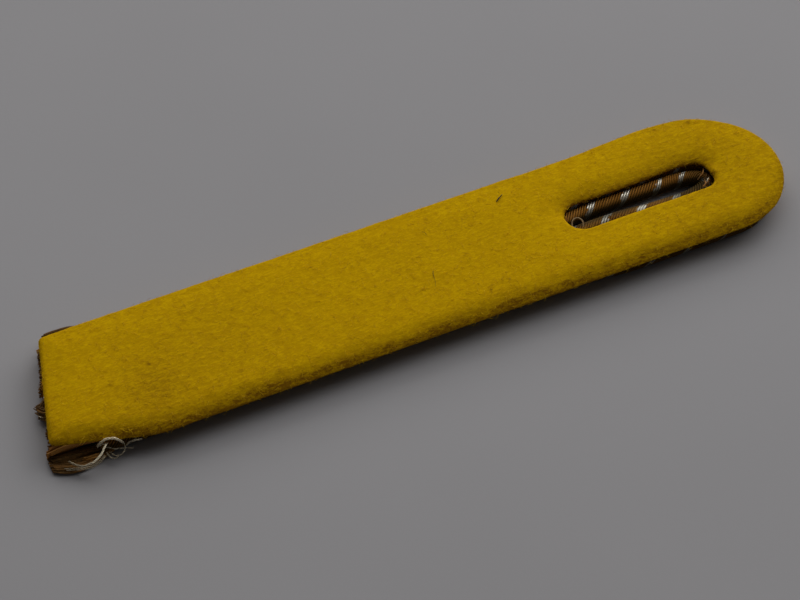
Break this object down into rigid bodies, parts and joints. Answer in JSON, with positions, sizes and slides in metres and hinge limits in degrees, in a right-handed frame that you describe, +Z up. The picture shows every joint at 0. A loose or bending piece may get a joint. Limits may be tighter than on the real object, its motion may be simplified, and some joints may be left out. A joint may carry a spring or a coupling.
{
  "type": "epaulette",
  "caption": "Narrow corded shoulder strap lying on its cords: yellow wool cloth back, long buttonhole slot in the round head, brown silver-flecked cords beneath, raw slanted end.",
  "frame": {"origin": "centre of the strap's box, on the surface that the cords lie on", "axes": "+X along the strap towards its round head, +Y towards its far side, +Z up through the cords and the cloth"},
  "size_m": [0.1232, 0.0244, 0.0041],
  "materials": {
    "wool_cloth": "fulled wool cloth, golden yellow, matt with a short nap, soiled along one edge",
    "wound_cord": "brown thread wound round a core, with a spiral stripe of silver thread"
  },
  "bodies": {
    "root": {"cloth_underlay": "wool_cloth", "cord_loop_1": "wound_cord", "cord_loop_2": "wound_cord", "cord_loop_3": "wound_cord", "cord_loop_4": "wound_cord"}
  },
  "joints": []
}
